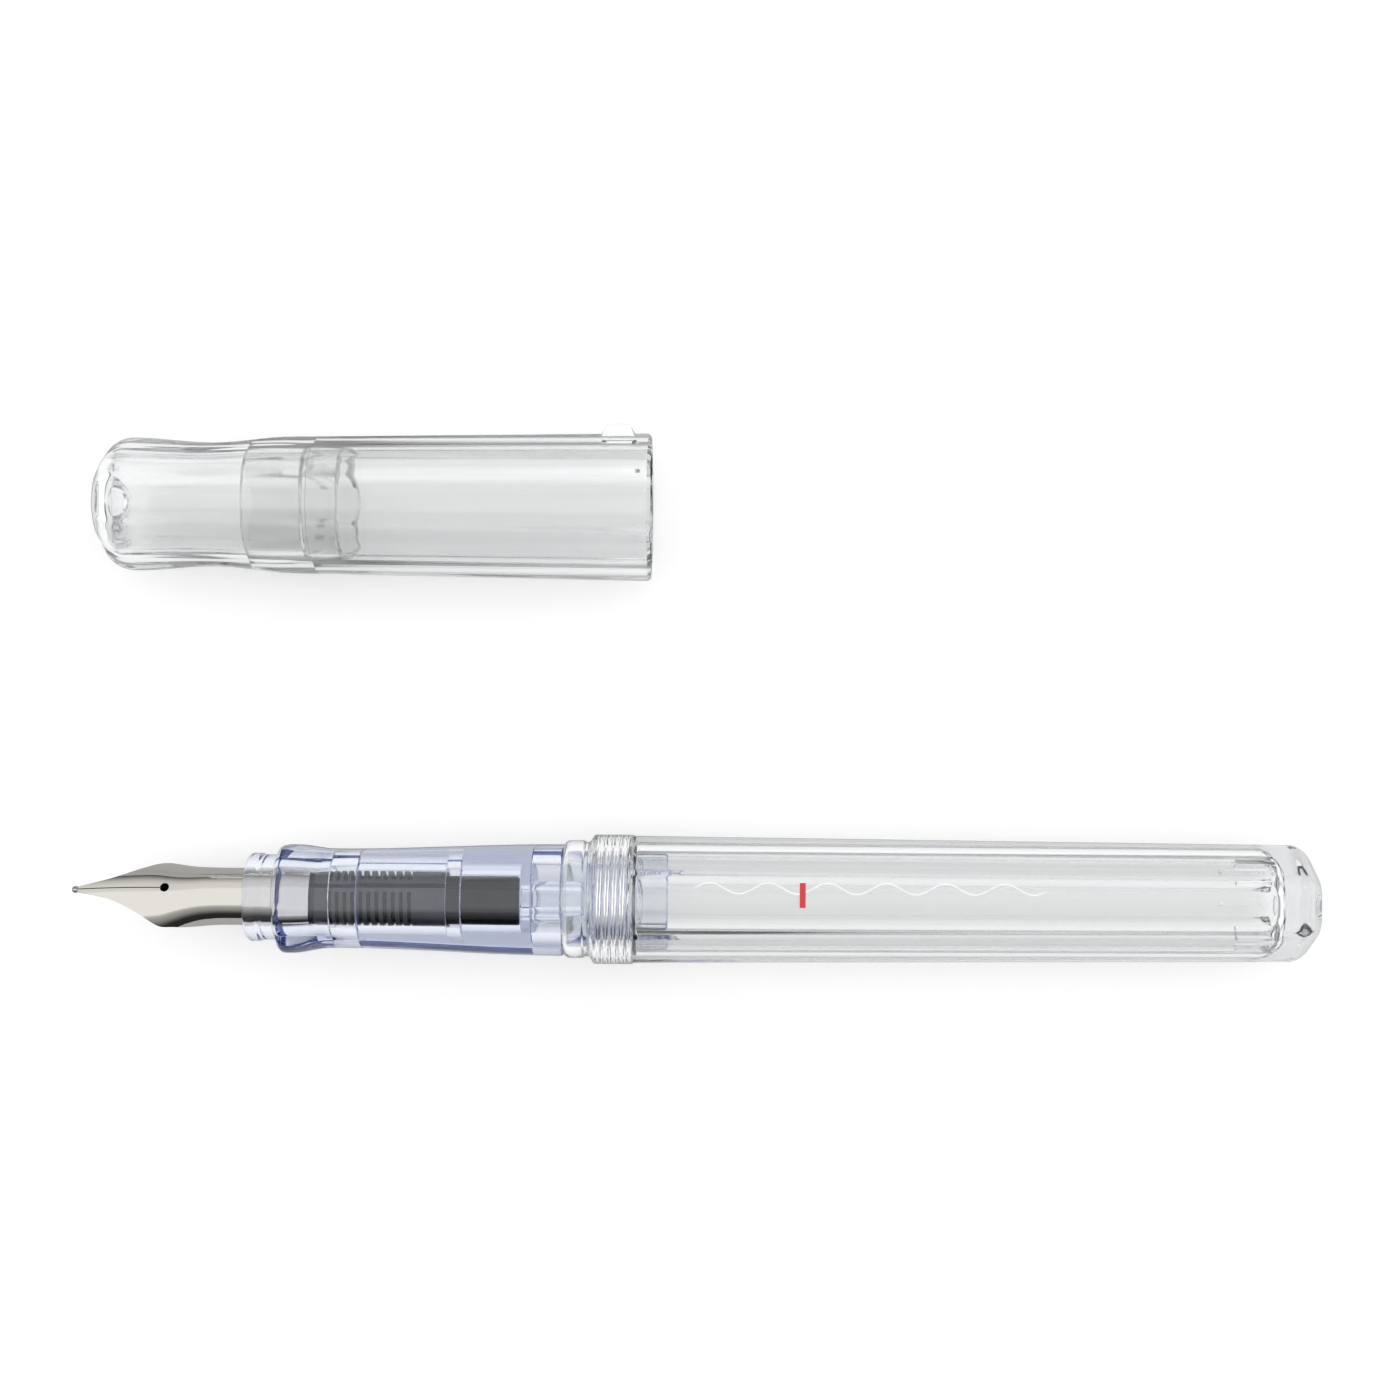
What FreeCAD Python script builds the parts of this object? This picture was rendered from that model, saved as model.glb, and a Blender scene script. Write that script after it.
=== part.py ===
"""Clear plastic fountain pen with its cap lying beside it, one STEP file per piece.

Millimetres. +X runs from the nib to the tail, +Z is up, and +Y points from the pen to the cap.
Each piece of the pen is built about its own axis with x = 0 at the joint of grip and barrel, and each
piece of the cap with x = 0 at the cap's mouth. They are moved to the shared frame when written out.
"""
import FreeCAD, Part
import math
import os

Vector = FreeCAD.Vector
AXIS = Vector(1, 0, 0)
FAR = 40.0  # reach of a cutting shape, well past any piece

# ---- driving dimensions ------------------------------------------------------------------------

# fits
pull_gap = 0.05  # radial clearance of pieces that slide or screw apart
seat_gap = 0.02  # radial clearance of pieces pressed or glued together
end_gap = 0.1  # clearance along the axis between parts that meet end to end

# lengths that stand by themselves
barrel_length = 76.9
grip_length = 32.15
nib_reach = 17.9  # nib tip ahead of the grip's lip

# feed
feed_radius = 2.7
feed_spigot_radius = 2.25
feed_tongue = 9.4  # how far the feed's tongue stands out of the lip
feed_body_length = 13.65
feed_spigot_length = 7.45
fin_pitch = 0.82
fin_gap = 0.4
fin_depth = 0.5
fin_count = 11
fin_first = 1.6  # from the feed's collar to the first slot
fin_rail = 1.1  # width of the rail that joins the fins on top
ink_groove = 0.4

# nib
nib_thickness = 0.25
nib_tail_from_lip = 6.45
nib_tail_gap = 0.35  # from the nib's tail to the feed's collar
nib_roll = 28.0  # degrees that the nib is turned towards the cap
breather_radius = 0.47
breather_from_tip = 9.6
slit_width = 0.08
tipping_radius = 0.36

# grip section: the walls outside its bores give its radii
lip_wall = 1.5
lip_length = 1.5
groove_depth = 0.15
groove_length = 1.5
recess_depth = 0.3
recess_length = 2.8
grip_wall = 1.56  # from the recess to the flats at the waist
waist_from_lip = 8.6
corner_over_flat = 0.28  # at the waist
flange_length = 1.4
flange_flat_rise = 0.33
flange_corner_rise = 0.55
grip_end_flat_rise = 0.54
grip_end_corner_rise = 0.66

# ink socket at the back of the grip section
relief_length = 1.5
relief_extra = 0.25
socket_radius = 3.7
socket_floor = 1.0
nipple_radius = 1.8
nipple_bore = 0.9
nipple_length = 5.0

# thread between grip section and barrel
thread_pitch = 0.755
thread_turns = 6
thread_depth = 0.38
tenon_wall = 0.82  # from the socket to the bottom of the thread
skirt_wall = 0.9
skirt_length = 3.5

# barrel
snap_ring_wall = 1.05
snap_ring_length = 2.1
snap_ring_round = 0.7
neck_depth = 0.15
neck_length = 0.55
collar_wall = 1.27
collar_slope = 0.5
barrel_wall_front = 1.15  # from the bore to a flat
barrel_wall_tail = 0.67
barrel_corner_front = 0.7  # corner over flat
barrel_corner_tail = 0.66
tail_dome = 2.6
tail_wall = 3.75
bore_round = 2.0
end_plug_radius = 1.85
end_plug_stem = 1.2
end_plug_head = 1.4
end_plug_land = 0.45
rib_height = 1.25
rib_width = 0.9
rib_length = 4.1
rib_from_bore_end = 0.8

# cap
snap_gap = 0.08  # between the barrel's snap ring and the cap's mouth
cap_slide_gap = 0.16  # between the grip's flange and the cap's bore
cap_wall = 0.72
cap_corner = 0.75  # corner over flat at the mouth
cap_neck_wall = 0.65
cap_neck_corner = 0.48
cap_neck_from_crown = 19.3
cap_waist_wall = 1.0
cap_waist_corner = 0.37
cap_waist_from_crown = 10.8
cap_bulb_wall = 1.3
cap_bulb_corner = 0.53
cap_bulb_from_crown = 4.2
cap_edge = 0.35
cap_mouth_land = 4.0  # straight bore behind the mouth, for the snap ring
tip_clearance = 2.75  # from the nib's tip to the crown when the cap is on
sleeve_length = 9.5
sleeve_step = 0.4  # how much narrower the inner cap is behind the cap's shoulder
sleeve_lip_depth = 3.5
shoulder_clearance = 1.15  # from the nib's body to the neck of the inner cap
chamber_step = 0.85
crown_wall = 0.75
crown_radius = 4.0
crown_height = 0.9
crown_stem = 2.4
crown_land = 0.3
roll_stop_height = 0.9
roll_stop_length = 3.4
roll_stop_width = 2.4
roll_stop_from_mouth = 1.75
roll_stop_slope = 0.5
roll_stop_edge = 0.15

# where the cap lies
cap_beside = 40.2  # from the pen's axis to the cap's axis
cap_mouth_past_joint = 8.74

# ---- sizes that follow -------------------------------------------------------------------------

# along the pen, from the joint
lip_x = -grip_length
nib_tip_x = lip_x - nib_reach
waist_x = lip_x + waist_from_lip
feed_collar_x = lip_x + nib_tail_from_lip + nib_tail_gap
feed_shoulder_x = feed_collar_x + feed_body_length
feed_end_x = feed_shoulder_x + feed_spigot_length
socket_x = feed_end_x + end_gap + socket_floor
collar_x = snap_ring_length + neck_length
thread_x = collar_x + 0.05
thread_end = thread_x + thread_turns * thread_pitch
collar_end = thread_end - thread_pitch / 4
tenon_end = thread_end + skirt_length
bore_end = barrel_length - tail_wall
dome_x = barrel_length - tail_dome

# across the pen
nib_body = feed_radius + nib_thickness
nib_bore = nib_body + pull_gap
feed_bore = feed_radius + pull_gap
spigot_bore = feed_spigot_radius + pull_gap
lip_radius = nib_bore + lip_wall
waist_flat = nib_bore + recess_depth + grip_wall
waist_corner = waist_flat + corner_over_flat
flange_flat = waist_flat + flange_flat_rise
flange_corner = waist_corner + flange_corner_rise
grip_end_flat = waist_flat + grip_end_flat_rise
grip_end_corner = waist_corner + grip_end_corner_rise
tenon_radius = socket_radius + tenon_wall + thread_depth
nut_radius = tenon_radius + pull_gap
skirt_radius = socket_radius + skirt_wall
barrel_bore = skirt_radius + pull_gap
snap_ring_radius = nut_radius + snap_ring_wall
collar_radius = nut_radius + thread_depth + collar_wall
barrel_flat_front = barrel_bore + barrel_wall_front
barrel_flat_tail = barrel_bore + barrel_wall_tail

# cap
cap_neck_bore = flange_corner + cap_slide_gap
cap_mouth_bore = max(snap_ring_radius + snap_gap, cap_neck_bore)
cap_neck_depth = grip_length + snap_ring_length + end_gap
cap_length = cap_neck_depth + nib_reach + tip_clearance + crown_wall
cap_flat = cap_mouth_bore + cap_wall
sleeve_neck = nib_body + shoulder_clearance
tip_chamber = sleeve_neck + chamber_step
sleeve_front = lip_length + groove_length

# places in the shared frame: its origin is under the middle of the whole object
half_width = (collar_radius + cap_beside + cap_flat + cap_corner + roll_stop_height) / 2
PEN_PLACE = Vector(-(nib_tip_x + barrel_length) / 2, collar_radius - half_width, collar_radius)
CAP_PLACE = Vector(PEN_PLACE.x + cap_mouth_past_joint, PEN_PLACE.y + cap_beside, cap_flat)


# ---- shape helpers -----------------------------------------------------------------------------

def edges_through(stations):
    """Edges along (x, r) stations. A list among them is one smooth curve through its points."""
    here = Vector(stations[0][0], 0, stations[0][1])
    edges = []
    for station in stations[1:]:
        if isinstance(station, list):
            through = [here] + [Vector(x, 0, r) for x, r in station]
            curve = Part.BSplineCurve()
            curve.interpolate(through)
            edges.append(curve.toShape())
            here = through[-1]
        else:
            there = Vector(station[0], 0, station[1])
            edges.append(Part.LineSegment(here, there).toShape())
            here = there
    return edges


def end_x(stations):
    """x of the last station, which may be the end of a curve."""
    last = stations[-1]
    return last[-1][0] if isinstance(last, list) else last[0]


def turned(stations):
    """Solid of revolution about X; the stations run from one end of the axis to the other."""
    first, last = stations[0][0], end_x(stations)
    face = Part.Face(Part.Wire(edges_through([(first, 0)] + stations + [(last, 0), (first, 0)])))
    return face.revolve(Vector(), AXIS, 360)


def tube(x0, x1, radius):
    """Plain round bar from x0 to x1."""
    return Part.makeCylinder(radius, x1 - x0, Vector(x0, 0, 0), AXIS)


def rolled(shape, degrees):
    """Copy turned about X, so that +Z goes towards +Y."""
    copy = shape.copy()
    copy.rotate(Vector(), AXIS, -degrees)
    return copy


def sided(stations, sides):
    """Solid whose sides all have the same side profile; the first faces +Z."""
    first, last = stations[0][0], end_x(stations)
    corners = stations + [(last, -FAR), (first, -FAR), stations[0]]
    face = Part.Face(Part.Wire(edges_through(corners)))
    face.translate(Vector(0, -FAR, 0))
    slab = face.extrude(Vector(0, 2 * FAR, 0))
    solid = slab
    for side in range(1, sides):
        solid = solid.common(rolled(slab, 360.0 * side / sides))
    return solid


def dome(x0, radius, depth, rim):
    """Points of a quarter ellipse from (x0, radius) that ends on the plane x0 + depth at r = rim."""
    last = math.acos(rim / radius)
    reach = depth / math.sin(last)
    angles = [last * step / 5 for step in range(1, 6)]
    return [(x0 + reach * math.sin(a), radius * math.cos(a)) for a in angles]


def ease(x0, r0, x1, r1):
    """Points of a soft swell from (x0, r0) to (x1, r1), level at both ends."""
    steps = [step / 6 for step in range(1, 7)]
    return [(x0 + (x1 - x0) * t, r0 + (r1 - r0) * (1 - math.cos(math.pi * t)) / 2) for t in steps]


def taper(x0, r0, x1, r1):
    """Points of a straight taper, to be run through by a curve.

    A cone cut by the flats would leave hyperbolas on the edges, and this leaves plain curves.
    """
    return [((x0 + x1) / 2, (r0 + r1) / 2), (x1, r1)]


def thread(x0, crest, depth):
    """Stations of the ring grooves of a thread, depth deep from the crest radius."""
    stations = []
    for turn in range(thread_turns):
        x = x0 + turn * thread_pitch
        stations += [(x, crest), (x + thread_pitch * 0.3, crest - depth)]
        stations += [(x + thread_pitch * 0.5, crest - depth), (x + thread_pitch * 0.8, crest)]
    return stations


# ---- pieces of the pen -------------------------------------------------------------------------

def make_grip_section():
    """Front half of the pen: three-sided grip, tenon with thread, ink socket with its nipple."""
    groove_x = lip_x + lip_length
    flange_x = groove_x + groove_length
    flange_back = flange_x + flange_length
    groove = lip_radius - groove_depth
    outside = turned([
        (lip_x, lip_radius - 0.4),
        [(lip_x + 0.12, lip_radius - 0.12), (lip_x + 0.4, lip_radius)],
        (groove_x - 0.3, lip_radius),
        (groove_x, groove),
        (flange_x, groove),
        (flange_x + 0.3, flange_corner - 0.3),
        (flange_x + 0.6, flange_corner),
        (flange_back, flange_corner),
        ease(flange_back, flange_corner, waist_x, waist_corner),
        ease(waist_x, waist_corner, 0, grip_end_corner),
        (0, tenon_radius)] + thread(thread_x, tenon_radius, thread_depth) + [
        (thread_end, tenon_radius),
        (thread_end, skirt_radius),
        (tenon_end - 0.3, skirt_radius),
        (tenon_end, skirt_radius - 0.3)])
    flats = sided([
        (lip_x - 1, flange_flat),
        (flange_back, flange_flat),
        ease(flange_back, flange_flat, waist_x, waist_flat),
        ease(waist_x, waist_flat, 0, grip_end_flat),
        (tenon_end + 1, grip_end_flat)], 3)
    body = outside.common(rolled(flats, nib_roll + 60))

    recess_end = waist_x + recess_length
    relief_end = feed_shoulder_x + relief_length
    hollow = turned([
        (lip_x - 1, nib_bore),
        (waist_x, nib_bore),
        (waist_x, nib_bore + recess_depth),
        (recess_end, nib_bore + recess_depth),
        (recess_end, feed_bore),
        (feed_shoulder_x, feed_bore),
        (feed_shoulder_x, feed_bore + relief_extra),
        (relief_end, feed_bore + relief_extra),
        (relief_end, spigot_bore),
        (feed_end_x + end_gap, spigot_bore)])
    nipple_end = socket_x + nipple_length
    socket = tube(socket_x, tenon_end + 1, socket_radius)
    nipple = tube(socket_x - 0.1, nipple_end, nipple_radius)
    ink_way = tube(feed_end_x, nipple_end + 1, nipple_bore)
    return body.cut(hollow).cut(socket).fuse(nipple).cut(ink_way).removeSplitter()


def make_barrel():
    """Clear hexagonal barrel with its snap ring, collar, inner thread, ribs and plugged tail."""
    hex_x = collar_end - 0.2
    rim = end_plug_radius + pull_gap + end_plug_land
    corner_front = barrel_flat_front + barrel_corner_front
    corner_tail = barrel_flat_tail + barrel_corner_tail
    flats = sided([
        (hex_x, barrel_flat_front),
        (dome_x, barrel_flat_tail),
        dome(dome_x, barrel_flat_tail, tail_dome, rim)], 6)
    corners = turned([
        (hex_x, corner_front),
        taper(hex_x, corner_front, dome_x, corner_tail),
        dome(dome_x, corner_tail, tail_dome, rim)])
    neck = snap_ring_radius - neck_depth
    front = turned([
        (0, snap_ring_radius - snap_ring_round),
        [(snap_ring_round * 0.3, snap_ring_radius - snap_ring_round * 0.3),
         (snap_ring_round, snap_ring_radius)],
        (snap_ring_length, snap_ring_radius),
        (snap_ring_length + 0.1, neck),
        (collar_x, neck),
        (collar_x + collar_slope, collar_radius),
        (collar_end, collar_radius)])
    nut = [(x, 2 * nut_radius - r) for x, r in thread(thread_x, nut_radius, thread_depth)]
    round_x = bore_end - bore_round
    bore = turned([(-1, nut_radius)] + nut + [
        (thread_end, nut_radius),
        (thread_end + 0.3, barrel_bore),
        (round_x, barrel_bore),
        dome(round_x, barrel_bore, bore_round, end_plug_radius)])
    head_x = barrel_length - end_plug_head - end_gap
    plug_seat = tube(bore_end - 1, head_x, end_plug_stem + pull_gap)
    head_seat = tube(head_x, barrel_length + 1, end_plug_radius + pull_gap)
    barrel = flats.common(corners).fuse(front).cut(bore).cut(plug_seat).cut(head_seat)

    rooted = rib_height + 0.2
    rib = Part.makeBox(rib_length, rib_width, rooted,
                       Vector(bore_end - rib_from_bore_end - rib_length, -rib_width / 2,
                              barrel_bore - rib_height))
    for angle in (60, 180, 300):
        barrel = barrel.fuse(rolled(rib, angle))
    return barrel.removeSplitter()


def make_barrel_end_plug():
    """Round plug that closes the hole in the tail; its head is flush with the end of the barrel."""
    head_x = barrel_length - end_plug_head
    return turned([
        (bore_end - 0.2, end_plug_stem),
        (head_x, end_plug_stem),
        (head_x, end_plug_radius),
        (barrel_length - 0.15, end_plug_radius),
        (barrel_length, end_plug_radius - 0.15)])


def make_feed():
    """Ink feed: tongue under the nib, comb of round fins, and the spigot that reaches the socket."""
    sleeve_radius = feed_radius - pull_gap * 2
    tongue_x = lip_x - feed_tongue
    bar = tube(tongue_x, feed_collar_x + 0.1, sleeve_radius)
    side = Part.Face(Part.Wire(edges_through([
        (tongue_x, feed_radius - 1.4),
        (tongue_x + 2.5, feed_radius - 1.1),
        (tongue_x + 5.0, feed_radius - 0.5),
        (tongue_x + 6.4, FAR),
        (feed_collar_x + 0.1, FAR),
        (feed_collar_x + 0.1, -FAR),
        (tongue_x + 8.6, -sleeve_radius),
        [(tongue_x + 4.0, -0.15 * feed_radius), (tongue_x + 0.6, feed_radius - 2.0),
         (tongue_x, feed_radius - 1.4)]])))
    side.translate(Vector(0, -FAR, 0))
    side = side.extrude(Vector(0, 2 * FAR, 0))
    point = Part.makeCone(0.9, 6.9, 15.0, Vector(tongue_x, 0, feed_radius - 1.7), AXIS)
    wide = tube(tongue_x + 6.8, feed_collar_x + 0.1, FAR)
    front = bar.common(side).common(point.fuse(wide))

    body = turned([
        (feed_collar_x, feed_radius - 0.2),
        (feed_collar_x + 0.2, feed_radius),
        (feed_shoulder_x, feed_radius),
        (feed_shoulder_x, feed_spigot_radius),
        (feed_end_x - 0.2, feed_spigot_radius),
        (feed_end_x, feed_spigot_radius - 0.2)])
    rail = Part.makeBox(feed_body_length, fin_rail, feed_radius,
                        Vector(feed_collar_x, -fin_rail / 2, 0))
    for fin in range(fin_count):
        x = feed_collar_x + fin_first + fin * fin_pitch
        ring = tube(x, x + fin_gap, feed_radius + 1).cut(tube(x, x + fin_gap, feed_radius - fin_depth))
        body = body.cut(ring.cut(rail))
    channel = Part.makeBox(nib_reach + grip_length, ink_groove, feed_radius,
                           Vector(tongue_x - 1, -ink_groove / 2, feed_radius - 1.0))
    return rolled(front.fuse(body).cut(channel).removeSplitter(), nib_roll)


def nib_section(from_tip, drop, flatter, half_angle):
    """Thin arched cross-section of the nib."""
    x = nib_tip_x + from_tip
    half = math.radians(half_angle)
    radius = nib_body + flatter
    inner = radius - nib_thickness
    centre = nib_body - drop - radius

    def at(r, angle):
        return Vector(x, r * math.sin(angle), centre + r * math.cos(angle))

    outer_arc = Part.Arc(at(radius, -half), at(radius, 0), at(radius, half)).toShape()
    inner_arc = Part.Arc(at(inner, half), at(inner, 0), at(inner, -half)).toShape()
    right = Part.LineSegment(at(radius, half), at(inner, half)).toShape()
    left = Part.LineSegment(at(inner, -half), at(radius, -half)).toShape()
    return Part.Wire([outer_arc, right, inner_arc, left])


def make_nib():
    """Arched steel nib, slit from its tip to the breather hole."""
    tail = nib_reach + nib_tail_from_lip
    stations = [  # from the tip, drop of the top, how much flatter the arch is, half its angle
        (0.35, 1.25, 1.05, 3.6),
        (3.8, 0.85, 1.25, 15.2),
        (7.1, 0.65, 1.45, 34.3),
        (9.1, 0.57, 1.55, 53.0),
        (11.0, 0.33, 0.65, 78.0),
        (13.5, 0.07, 0.10, 95.0),
        (15.5, 0, 0, 100.0),
        (tail, 0, 0, 100.0)]
    shell = Part.makeLoft([nib_section(*station) for station in stations], True, True)
    hole = Part.makeCylinder(breather_radius, FAR, Vector(nib_tip_x + breather_from_tip, 0, 0))
    slit = Part.makeBox(breather_from_tip + 1, slit_width, FAR,
                        Vector(nib_tip_x - 1, -slit_width / 2, 0))
    return rolled(shell.cut(hole).cut(slit), nib_roll)


def make_nib_tipping(nib):
    """Hard pellet on the nib's point, parted by the slit into two halves."""
    point_height = nib_body - 1.33
    ball = Part.makeSphere(tipping_radius, Vector(nib_tip_x + tipping_radius, 0, point_height))
    slit = Part.makeBox(2, slit_width, 4, Vector(nib_tip_x - 1, -slit_width / 2, 0))
    return rolled(ball.cut(slit), nib_roll).cut(nib)


# ---- pieces of the cap -------------------------------------------------------------------------

def cap_side(bulb, waist, neck, mouth):
    """Side view of the cap's flats or corners, from the crown to the mouth."""
    crown_x = -cap_length
    bulb_x = crown_x + cap_bulb_from_crown
    waist_x = crown_x + cap_waist_from_crown
    neck_x = crown_x + cap_neck_from_crown
    end = crown_radius + crown_land
    turns = [math.radians(15 * step) for step in range(1, 7)]
    return [
        (crown_x, end),
        [(bulb_x - cap_bulb_from_crown * math.cos(a), end + (bulb - end) * math.sin(a))
         for a in turns],
        ease(bulb_x, bulb, waist_x, waist),
        ease(waist_x, waist, neck_x, neck),
        taper(neck_x, neck, -cap_edge, mouth),
        taper(-cap_edge, mouth, 0, mouth - cap_edge)]


def make_roll_stop():
    """Small block on a corner of the cap, near its mouth, that keeps the pen from rolling."""
    base = cap_flat
    top = cap_flat + cap_corner + roll_stop_height
    front = -roll_stop_from_mouth
    back = front - roll_stop_length
    face = Part.Face(Part.Wire(edges_through([
        (back, base),
        (back + roll_stop_slope, top - roll_stop_edge),
        (back + roll_stop_slope + roll_stop_edge, top),
        (front - roll_stop_slope - roll_stop_edge, top),
        (front - roll_stop_slope, top - roll_stop_edge),
        (front, base),
        (back, base)])))
    face.translate(Vector(0, -roll_stop_width / 2, 0))
    return rolled(face.extrude(Vector(0, roll_stop_width, 0)), 90)


def make_cap_shell():
    """Clear hexagonal cap with a gripped-in waist, a round crown end and a roll stop."""
    bulb = tip_chamber + cap_bulb_wall
    waist = tip_chamber + cap_waist_wall
    neck = cap_neck_bore + cap_neck_wall
    flats = sided(cap_side(bulb, waist, neck, cap_flat), 6)
    corners = turned(cap_side(bulb + cap_bulb_corner, waist + cap_waist_corner,
                              neck + cap_neck_corner, cap_flat + cap_corner))
    sleeve_end = sleeve_front - cap_neck_depth - sleeve_length
    chamber_end = crown_wall - cap_length
    sleeve_seat = cap_neck_bore - sleeve_step + seat_gap
    hollow = turned([
        (chamber_end, tip_chamber - 1.0),
        (chamber_end + 1.0, tip_chamber),
        (sleeve_end, tip_chamber),
        (sleeve_end, sleeve_seat),
        (-cap_neck_depth, sleeve_seat),
        (-cap_neck_depth, cap_neck_bore),
        (-cap_mouth_land, cap_mouth_bore),
        (1, cap_mouth_bore)])
    crown_hole = tube(-cap_length - 1, chamber_end + 1, crown_stem + seat_gap)
    outside = flats.common(corners).fuse(make_roll_stop())
    return outside.cut(hollow).cut(crown_hole).removeSplitter()


def make_inner_cap():
    """Sleeve pressed into the cap; it takes the grip's lip and keeps the nib from drying."""
    front = sleeve_front - cap_neck_depth
    back = front - sleeve_length
    wide = cap_neck_bore - seat_gap
    narrow = cap_neck_bore - sleeve_step
    seat = lip_radius + pull_gap
    outside = turned([
        (back, narrow),
        (-cap_neck_depth, narrow),
        (-cap_neck_depth, wide),
        (front, wide)])
    inside = turned([
        (back - 1, sleeve_neck),
        (front - sleeve_lip_depth - 0.4, sleeve_neck),
        (front - sleeve_lip_depth, seat),
        (front - 0.3, seat),
        (front + 0.1, seat + 0.4)])
    return outside.cut(inside)


def make_crown_plug():
    """Round plug in the crown of the cap, its head standing proud of the shell."""
    face = -cap_length - crown_height
    return turned([
        (face, crown_radius - 0.5),
        [(face + 0.15, crown_radius - 0.15), (face + 0.5, crown_radius)],
        (-cap_length, crown_radius),
        (-cap_length, crown_stem),
        (-cap_length + crown_wall + 0.2, crown_stem)])


# ---- write the pieces --------------------------------------------------------------------------

os.makedirs("parts", exist_ok=True)
nib = make_nib()
pen_pieces = {
    "grip_section": make_grip_section(),
    "barrel": make_barrel(),
    "barrel_end_plug": make_barrel_end_plug(),
    "feed": make_feed(),
    "nib": nib,
    "nib_tipping": make_nib_tipping(nib)}
cap_pieces = {
    "cap_shell": make_cap_shell(),
    "inner_cap": make_inner_cap(),
    "crown_plug": make_crown_plug()}
for place, pieces in ((PEN_PLACE, pen_pieces), (CAP_PLACE, cap_pieces)):
    for name, shape in pieces.items():
        shape.translate(place)
        shape.exportStep("parts/" + name + ".step")
        box = shape.BoundBox
        print(f"{name:16} valid {shape.isValid()} solids {len(shape.Solids)} volume {shape.Volume:9.2f}"
              f" x {box.XMin:7.2f} {box.XMax:7.2f} y {box.YMin:7.2f} {box.YMax:7.2f}"
              f" z {box.ZMin:6.2f} {box.ZMax:6.2f}")
print("pen axis", PEN_PLACE, "cap mouth", CAP_PLACE)
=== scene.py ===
# %% [markdown]
# # A clear fountain pen with its cap beside it
#
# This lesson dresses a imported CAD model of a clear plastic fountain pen. The CAD says where each
# piece is and how it moves. Here the pieces get round edges, true threads and real finishes.
# Everything is in metres for Blender, and the sizes below are in millimetres, as a maker says them.

# %% Load the frame
import math

import bmesh
import bpy
from mathutils import Matrix, Vector


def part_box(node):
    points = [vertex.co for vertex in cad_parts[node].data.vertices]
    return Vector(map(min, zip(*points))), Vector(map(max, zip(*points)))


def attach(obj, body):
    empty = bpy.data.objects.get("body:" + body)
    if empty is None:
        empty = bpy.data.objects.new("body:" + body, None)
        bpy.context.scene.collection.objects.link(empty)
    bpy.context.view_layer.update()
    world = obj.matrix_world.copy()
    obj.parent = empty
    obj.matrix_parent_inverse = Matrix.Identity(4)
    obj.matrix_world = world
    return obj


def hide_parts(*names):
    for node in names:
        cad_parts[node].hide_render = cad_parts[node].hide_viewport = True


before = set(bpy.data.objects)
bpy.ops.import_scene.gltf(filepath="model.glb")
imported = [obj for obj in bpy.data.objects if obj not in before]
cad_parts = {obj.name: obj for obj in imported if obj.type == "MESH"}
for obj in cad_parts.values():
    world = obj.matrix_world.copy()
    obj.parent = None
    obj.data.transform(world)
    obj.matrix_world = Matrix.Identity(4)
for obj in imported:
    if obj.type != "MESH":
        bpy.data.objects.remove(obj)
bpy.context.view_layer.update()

# %% [markdown]
# The pen and the cap each have their own axis along X. A length along the pen is counted from the
# face where the barrel meets the grip, and a length along the cap from the cap's mouth. The CAD
# boxes give both places, so nothing has to be fitted by eye.

# %% Where the pen and the cap lie
MM = 0.001


def middle(node):
    low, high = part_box(node)
    return (low + high) / 2


pen = Vector((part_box("barrel")[0].x, middle("barrel_end_plug").y, middle("barrel_end_plug").z))
cap = Vector((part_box("cap_shell")[1].x, middle("crown_plug").y, middle("crown_plug").z))
print("pen axis in mm:", [round(v / MM, 3) for v in pen])
print("cap axis in mm:", [round(v / MM, 3) for v in cap])

# %% [markdown]
# ## Tools for turned pieces
#
# Nearly all of this pen comes out of round moulds with a few flats on them. So each piece starts as
# a side outline, which a spin turns about the axis. Corners of the outline are rounded first, with
# a vertex bevel, because no moulded edge is sharp and a thin bright line along each edge is what
# makes clear plastic look real. A lathe modifier could do the same, but here the turned mesh is
# needed at once, to press the flats into it.

# %% Turn an outline about an axis
TURN_STEPS = 192
CORNER_SEGMENTS = 4
ON_AXIS, SAME_POINT = 1e-7, 1e-7  # metres


def turned(stations, place, closed=True, steps=TURN_STEPS):
    """A bmesh turned from (x, radius, rounding) stations.

    An outline that isn't closed starts and ends on the axis.
    """
    bm = bmesh.new()
    corners = [bm.verts.new(place + Vector((s[0] * MM, 0, s[1] * MM))) for s in stations]
    face = bm.faces.new(corners)
    for size in sorted({s[2] for s in stations if len(s) > 2 and s[2]}):
        chosen = [v for v, s in zip(corners, stations) if len(s) > 2 and s[2] == size]
        bmesh.ops.bevel(bm, geom=chosen, offset=size * MM, segments=CORNER_SEGMENTS,
                        profile=0.5, affect="VERTICES", material=-1)
    bmesh.ops.delete(bm, geom=bm.faces[:], context="FACES_ONLY")
    if not closed:
        on_axis = [e for e in bm.edges if all(v.co.z - place.z < ON_AXIS for v in e.verts)]
        bmesh.ops.delete(bm, geom=on_axis, context="EDGES")
    bmesh.ops.spin(bm, geom=bm.verts[:] + bm.edges[:], cent=place, axis=(1, 0, 0),
                   angle=2 * math.pi, steps=steps, use_merge=True)
    bmesh.ops.remove_doubles(bm, verts=bm.verts[:], dist=SAME_POINT)
    bmesh.ops.recalc_face_normals(bm, faces=bm.faces[:])
    return bm


def seen_from_axis(co, place):
    """Length along the axis, angle from +Z towards +Y in degrees, and radius, of a point."""
    off = (co - place) / MM
    return off.x, math.degrees(math.atan2(off.y, off.z)), math.hypot(off.y, off.z)


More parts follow.
